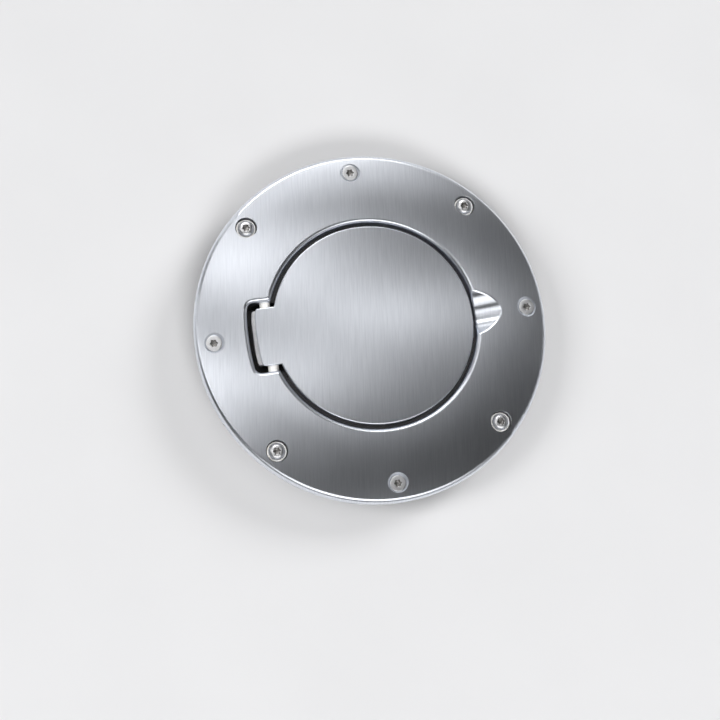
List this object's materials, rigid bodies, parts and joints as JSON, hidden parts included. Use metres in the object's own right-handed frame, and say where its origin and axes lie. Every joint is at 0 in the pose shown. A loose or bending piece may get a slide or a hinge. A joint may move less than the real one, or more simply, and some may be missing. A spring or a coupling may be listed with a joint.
{
  "type": "hinged fuel filler door",
  "caption": "Round flush-mounted filler door: a trim ring with a finger scoop and screws, a spring-closed hinged lid, and a rear housing with a collar round the filler neck.",
  "frame": {"origin": "centre of the mounting screw circle, on the underside of the panel gasket", "axes": "+Z out of the face, +X from the hinge to the finger scoop, +Y along the hinge pin"},
  "size_m": [0.203, 0.203, 0.0281],
  "materials": {
    "brushed_aluminium": "brushed, straight grain",
    "cast_aluminium": "die cast, tumbled bright",
    "black_plastic": "fine moulded texture",
    "black_rubber": "matt",
    "stainless": "passivated stainless steel",
    "spring_steel": "drawn bright wire",
    "white_nylon": "natural nylon",
    "brass": "turned and knurled"
  },
  "bodies": {
    "housing": {"bezel_ring": "brushed_aluminium", "rear_housing": "black_plastic", "panel_gasket": "black_rubber", "lid_seal": "black_rubber", "lid_buffers": "black_rubber", "hinge_bush_upper": "white_nylon", "hinge_bush_lower": "white_nylon", "torsion_spring_upper": "spring_steel", "torsion_spring_lower": "spring_steel", "open_stop_pad": "black_rubber", "trim_screws": "stainless", "threaded_inserts": "brass", "mounting_washers": "white_nylon", "mounting_screws": "stainless"},
    "lid": {"lid": "brushed_aluminium", "hinge_arm": "cast_aluminium", "arm_washers": "stainless", "arm_nuts": "stainless", "hinge_pin": "stainless", "spring_spacer": "white_nylon"}
  },
  "joints": [
    {"name": "lid_hinge", "type": "hinge", "parent": "housing", "child": "lid", "pos_m": [-0.0595, 0, 0.0045], "axis": [0, -1, 0], "range_deg": [0, 90], "stiffness_Nm_per_rad": 0.12, "springref_deg": -22.92, "deforming": ["torsion_spring_upper", "torsion_spring_lower"]}
  ]
}
